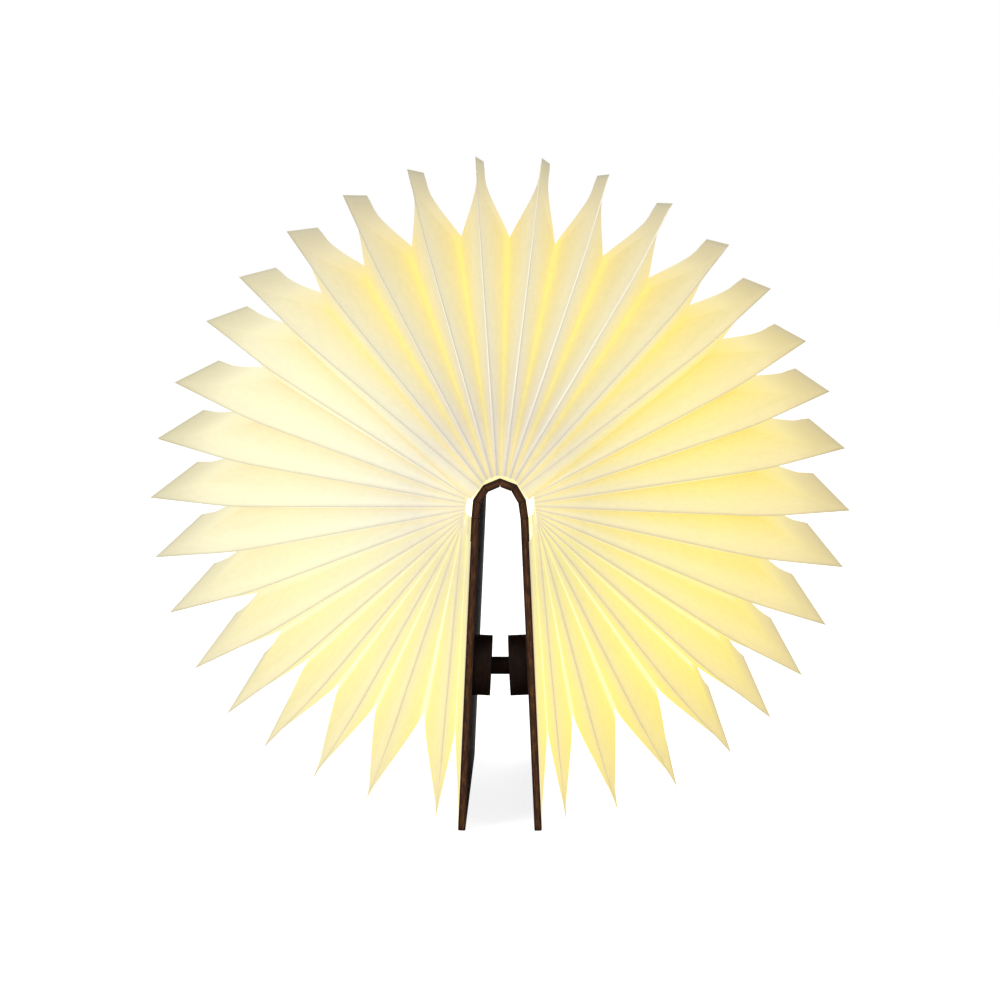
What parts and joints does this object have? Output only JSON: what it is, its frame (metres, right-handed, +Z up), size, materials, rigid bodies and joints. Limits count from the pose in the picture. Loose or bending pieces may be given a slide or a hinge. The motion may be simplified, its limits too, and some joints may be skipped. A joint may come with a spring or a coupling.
{
  "type": "folding book lamp",
  "caption": "Book-shaped lamp standing open on its two wooden boards, with a hinged slatted spine, a full-circle fan of pleated paper petals lit from inside, and a spacer between the boards.",
  "frame": {"origin": "on the surface it stands on, midway across the fan and along the spine", "axes": "+Z up; +Y along the spine, away from the end that the spacer is at; +X towards the board without electronics"},
  "size_m": [0.353, 0.215, 0.3417],
  "materials": {
    "walnut": "oiled walnut",
    "walnut_dark": "dark stained walnut",
    "shade_paper": "matt coated spunbond paper, lit from within",
    "endpaper": "matt coated paper",
    "lining": "dark book cloth",
    "frosted_diffuser": "frosted opal plastic",
    "led_board": "white solder mask on aluminium",
    "battery_pouch": "satin laminated foil",
    "lead_wire": "red silicone insulation",
    "circuit_board": "green solder mask",
    "port_shell": "nickel-plated steel",
    "catch_steel": "zinc-plated steel",
    "magnet_plating": "nickel-plated magnet"
  },
  "bodies": {
    "left_cover": {"cover_left": "walnut", "endpaper_left": "endpaper", "catch_plate_left": "catch_steel", "battery_cell": "battery_pouch", "battery_leads": "lead_wire", "control_board": "circuit_board", "charge_port": "port_shell", "spine_lining": "lining", "shade_pleats": "shade_paper"},
    "slat_1": {"spine_slat_1": "walnut", "led_board_left": "led_board", "diffuser_left": "frosted_diffuser", "petal_01": "shade_paper"},
    "slat_2": {"spine_slat_2": "walnut", "petal_07": "shade_paper"},
    "slat_3": {"spine_slat_3": "walnut", "petal_14": "shade_paper"},
    "slat_4": {"spine_slat_4": "walnut", "petal_21": "shade_paper"},
    "slat_5": {"spine_slat_5": "walnut", "petal_28": "shade_paper"},
    "slat_6": {"spine_slat_6": "walnut", "led_board_right": "led_board", "diffuser_right": "frosted_diffuser", "petal_33": "shade_paper"},
    "right_cover": {"cover_right": "walnut", "endpaper_right": "endpaper", "catch_plate_right": "catch_steel"},
    "spacer": {"spacer_disc_left": "walnut_dark", "spacer_disc_right": "walnut_dark", "spacer_neck": "walnut_dark", "spacer_magnets": "magnet_plating"},
    "leaf_02": {"petal_02": "shade_paper"},
    "leaf_03": {"petal_03": "shade_paper"},
    "leaf_04": {"petal_04": "shade_paper"},
    "leaf_05": {"petal_05": "shade_paper"},
    "leaf_06": {"petal_06": "shade_paper"},
    "leaf_08": {"petal_08": "shade_paper"},
    "leaf_09": {"petal_09": "shade_paper"},
    "leaf_10": {"petal_10": "shade_paper"},
    "leaf_11": {"petal_11": "shade_paper"},
    "leaf_12": {"petal_12": "shade_paper"},
    "leaf_13": {"petal_13": "shade_paper"},
    "leaf_15": {"petal_15": "shade_paper"},
    "leaf_16": {"petal_16": "shade_paper"},
    "leaf_17": {"petal_17": "shade_paper"},
    "leaf_18": {"petal_18": "shade_paper"},
    "leaf_19": {"petal_19": "shade_paper"},
    "leaf_20": {"petal_20": "shade_paper"},
    "leaf_22": {"petal_22": "shade_paper"},
    "leaf_23": {"petal_23": "shade_paper"},
    "leaf_24": {"petal_24": "shade_paper"},
    "leaf_25": {"petal_25": "shade_paper"},
    "leaf_26": {"petal_26": "shade_paper"},
    "leaf_27": {"petal_27": "shade_paper"},
    "leaf_29": {"petal_29": "shade_paper"},
    "leaf_30": {"petal_30": "shade_paper"},
    "leaf_31": {"petal_31": "shade_paper"},
    "leaf_32": {"petal_32": "shade_paper"},
    "leaf_34": {"petal_34": "shade_paper"}
  },
  "joints": [
    {"name": "fold_1", "type": "hinge", "parent": "left_cover", "child": "slat_1", "pos_m": [-0.01413, 0, 0.16046], "axis": [0, -1, 0], "range_deg": [0, 4]},
    {"name": "fold_2", "type": "hinge", "parent": "slat_1", "child": "slat_2", "pos_m": [-0.01334, 0, 0.16943], "axis": [0, -1, 0], "range_deg": [0, 61]},
    {"name": "fold_3", "type": "hinge", "parent": "slat_2", "child": "slat_3", "pos_m": [-0.0083, 0, 0.17689], "axis": [0, -1, 0], "range_deg": [0, 72.5]},
    {"name": "fold_4", "type": "hinge", "parent": "slat_3", "child": "slat_4", "pos_m": [-0.00002, 0, 0.1804], "axis": [0, -1, 0], "range_deg": [0, 83], "deforming": ["shade_pleats", "spine_lining"]},
    {"name": "fold_5", "type": "hinge", "parent": "slat_4", "child": "slat_5", "pos_m": [0.00838, 0, 0.17717], "axis": [0, -1, 0], "range_deg": [0, 71]},
    {"name": "fold_6", "type": "hinge", "parent": "slat_5", "child": "slat_6", "pos_m": [0.01288, 0, 0.16938], "axis": [0, -1, 0], "range_deg": [0, 49.5]},
    {"name": "fold_7", "type": "hinge", "parent": "slat_6", "child": "right_cover", "pos_m": [0.01413, 0, 0.16046], "axis": [0, -1, 0], "range_deg": [0, 13.8]},
    {"name": "hinge_02", "type": "hinge", "parent": "slat_1", "child": "leaf_02", "pos_m": [-0.01334, 0, 0.16943], "axis": [0, -1, 0], "range_deg": [0, 12.5]},
    {"name": "hinge_03", "type": "hinge", "parent": "slat_1", "child": "leaf_03", "pos_m": [-0.01334, 0, 0.16943], "axis": [0, -1, 0], "range_deg": [0, 22.5]},
    {"name": "hinge_04", "type": "hinge", "parent": "slat_1", "child": "leaf_04", "pos_m": [-0.01334, 0, 0.16943], "axis": [0, -1, 0], "range_deg": [0, 32.5]},
    {"name": "hinge_05", "type": "hinge", "parent": "slat_1", "child": "leaf_05", "pos_m": [-0.01334, 0, 0.16943], "axis": [0, -1, 0], "range_deg": [0, 41]},
    {"name": "hinge_06", "type": "hinge", "parent": "slat_1", "child": "leaf_06", "pos_m": [-0.01334, 0, 0.16943], "axis": [0, -1, 0], "range_deg": [0, 50.5]},
    {"name": "hinge_08", "type": "hinge", "parent": "slat_2", "child": "leaf_08", "pos_m": [-0.0083, 0, 0.17689], "axis": [0, -1, 0], "range_deg": [0, 9.5]},
    {"name": "hinge_09", "type": "hinge", "parent": "slat_2", "child": "leaf_09", "pos_m": [-0.0083, 0, 0.17689], "axis": [0, -1, 0], "range_deg": [0, 19.5]},
    {"name": "hinge_10", "type": "hinge", "parent": "slat_2", "child": "leaf_10", "pos_m": [-0.0083, 0, 0.17689], "axis": [0, -1, 0], "range_deg": [0, 29.5]},
    {"name": "hinge_11", "type": "hinge", "parent": "slat_2", "child": "leaf_11", "pos_m": [-0.0083, 0, 0.17689], "axis": [0, -1, 0], "range_deg": [0, 39.5]},
    {"name": "hinge_12", "type": "hinge", "parent": "slat_2", "child": "leaf_12", "pos_m": [-0.0083, 0, 0.17689], "axis": [0, -1, 0], "range_deg": [0, 51.5]},
    {"name": "hinge_13", "type": "hinge", "parent": "slat_2", "child": "leaf_13", "pos_m": [-0.0083, 0, 0.17689], "axis": [0, -1, 0], "range_deg": [0, 61]},
    {"name": "hinge_15", "type": "hinge", "parent": "slat_3", "child": "leaf_15", "pos_m": [-0.00002, 0, 0.1804], "axis": [0, -1, 0], "range_deg": [0, 11.5]},
    {"name": "hinge_16", "type": "hinge", "parent": "slat_3", "child": "leaf_16", "pos_m": [-0.00002, 0, 0.1804], "axis": [0, -1, 0], "range_deg": [0, 23.5]},
    {"name": "hinge_17", "type": "hinge", "parent": "slat_3", "child": "leaf_17", "pos_m": [-0.00002, 0, 0.1804], "axis": [0, -1, 0], "range_deg": [0, 35.5]},
    {"name": "hinge_18", "type": "hinge", "parent": "slat_3", "child": "leaf_18", "pos_m": [-0.00002, 0, 0.1804], "axis": [0, -1, 0], "range_deg": [0, 47]},
    {"name": "hinge_19", "type": "hinge", "parent": "slat_3", "child": "leaf_19", "pos_m": [-0.00002, 0, 0.1804], "axis": [0, -1, 0], "range_deg": [0, 59]},
    {"name": "hinge_20", "type": "hinge", "parent": "slat_3", "child": "leaf_20", "pos_m": [-0.00002, 0, 0.1804], "axis": [0, -1, 0], "range_deg": [0, 71]},
    {"name": "hinge_22", "type": "hinge", "parent": "slat_4", "child": "leaf_22", "pos_m": [0.00838, 0, 0.17717], "axis": [0, -1, 0], "range_deg": [0, 10.5]},
    {"name": "hinge_23", "type": "hinge", "parent": "slat_4", "child": "leaf_23", "pos_m": [0.00838, 0, 0.17717], "axis": [0, -1, 0], "range_deg": [0, 21.5]},
    {"name": "hinge_24", "type": "hinge", "parent": "slat_4", "child": "leaf_24", "pos_m": [0.00838, 0, 0.17717], "axis": [0, -1, 0], "range_deg": [0, 31]},
    {"name": "hinge_25", "type": "hinge", "parent": "slat_4", "child": "leaf_25", "pos_m": [0.00838, 0, 0.17717], "axis": [0, -1, 0], "range_deg": [0, 41]},
    {"name": "hinge_26", "type": "hinge", "parent": "slat_4", "child": "leaf_26", "pos_m": [0.00838, 0, 0.17717], "axis": [0, -1, 0], "range_deg": [0, 51.5]},
    {"name": "hinge_27", "type": "hinge", "parent": "slat_4", "child": "leaf_27", "pos_m": [0.00838, 0, 0.17717], "axis": [0, -1, 0], "range_deg": [0, 61]},
    {"name": "hinge_29", "type": "hinge", "parent": "slat_5", "child": "leaf_29", "pos_m": [0.01288, 0, 0.16938], "axis": [0, -1, 0], "range_deg": [0, 9.5]},
    {"name": "hinge_30", "type": "hinge", "parent": "slat_5", "child": "leaf_30", "pos_m": [0.01288, 0, 0.16938], "axis": [0, -1, 0], "range_deg": [0, 18.5]},
    {"name": "hinge_31", "type": "hinge", "parent": "slat_5", "child": "leaf_31", "pos_m": [0.01288, 0, 0.16938], "axis": [0, -1, 0], "range_deg": [0, 27.5]},
    {"name": "hinge_32", "type": "hinge", "parent": "slat_5", "child": "leaf_32", "pos_m": [0.01288, 0, 0.16938], "axis": [0, -1, 0], "range_deg": [0, 38.5]},
    {"name": "hinge_34", "type": "hinge", "parent": "slat_6", "child": "leaf_34", "pos_m": [0.01413, 0, 0.16046], "axis": [0, -1, 0], "range_deg": [0, 9.5]},
    {"name": "spacer_slide", "type": "slide", "parent": "left_cover", "child": "spacer", "axis": [0, -1, 0], "range_m": [0, 0.1]}
  ],
  "couplings": [
    {"joint": "fold_1", "follows": "fold_4", "ratio": 0.048192},
    {"joint": "fold_2", "follows": "fold_4", "ratio": 0.73494},
    {"joint": "fold_3", "follows": "fold_4", "ratio": 0.87349},
    {"joint": "fold_5", "follows": "fold_4", "ratio": 0.85542},
    {"joint": "fold_6", "follows": "fold_4", "ratio": 0.59639},
    {"joint": "fold_7", "follows": "fold_4", "ratio": 0.16626},
    {"joint": "hinge_02", "follows": "fold_4", "ratio": 0.1506},
    {"joint": "hinge_03", "follows": "fold_4", "ratio": 0.27108},
    {"joint": "hinge_04", "follows": "fold_4", "ratio": 0.39157},
    {"joint": "hinge_05", "follows": "fold_4", "ratio": 0.49397},
    {"joint": "hinge_06", "follows": "fold_4", "ratio": 0.60843},
    {"joint": "hinge_08", "follows": "fold_4", "ratio": 0.11446},
    {"joint": "hinge_09", "follows": "fold_4", "ratio": 0.23494},
    {"joint": "hinge_10", "follows": "fold_4", "ratio": 0.35542},
    {"joint": "hinge_11", "follows": "fold_4", "ratio": 0.4759},
    {"joint": "hinge_12", "follows": "fold_4", "ratio": 0.62048},
    {"joint": "hinge_13", "follows": "fold_4", "ratio": 0.73494},
    {"joint": "hinge_15", "follows": "fold_4", "ratio": 0.13855},
    {"joint": "hinge_16", "follows": "fold_4", "ratio": 0.28313},
    {"joint": "hinge_17", "follows": "fold_4", "ratio": 0.42771},
    {"joint": "hinge_18", "follows": "fold_4", "ratio": 0.56627},
    {"joint": "hinge_19", "follows": "fold_4", "ratio": 0.71084},
    {"joint": "hinge_20", "follows": "fold_4", "ratio": 0.85542},
    {"joint": "hinge_22", "follows": "fold_4", "ratio": 0.12651},
    {"joint": "hinge_23", "follows": "fold_4", "ratio": 0.25904},
    {"joint": "hinge_24", "follows": "fold_4", "ratio": 0.37349},
    {"joint": "hinge_25", "follows": "fold_4", "ratio": 0.49397},
    {"joint": "hinge_26", "follows": "fold_4", "ratio": 0.62048},
    {"joint": "hinge_27", "follows": "fold_4", "ratio": 0.73494},
    {"joint": "hinge_29", "follows": "fold_4", "ratio": 0.11446},
    {"joint": "hinge_30", "follows": "fold_4", "ratio": 0.22289},
    {"joint": "hinge_31", "follows": "fold_4", "ratio": 0.33132},
    {"joint": "hinge_32", "follows": "fold_4", "ratio": 0.46386},
    {"joint": "hinge_34", "follows": "fold_4", "ratio": 0.11446}
  ]
}
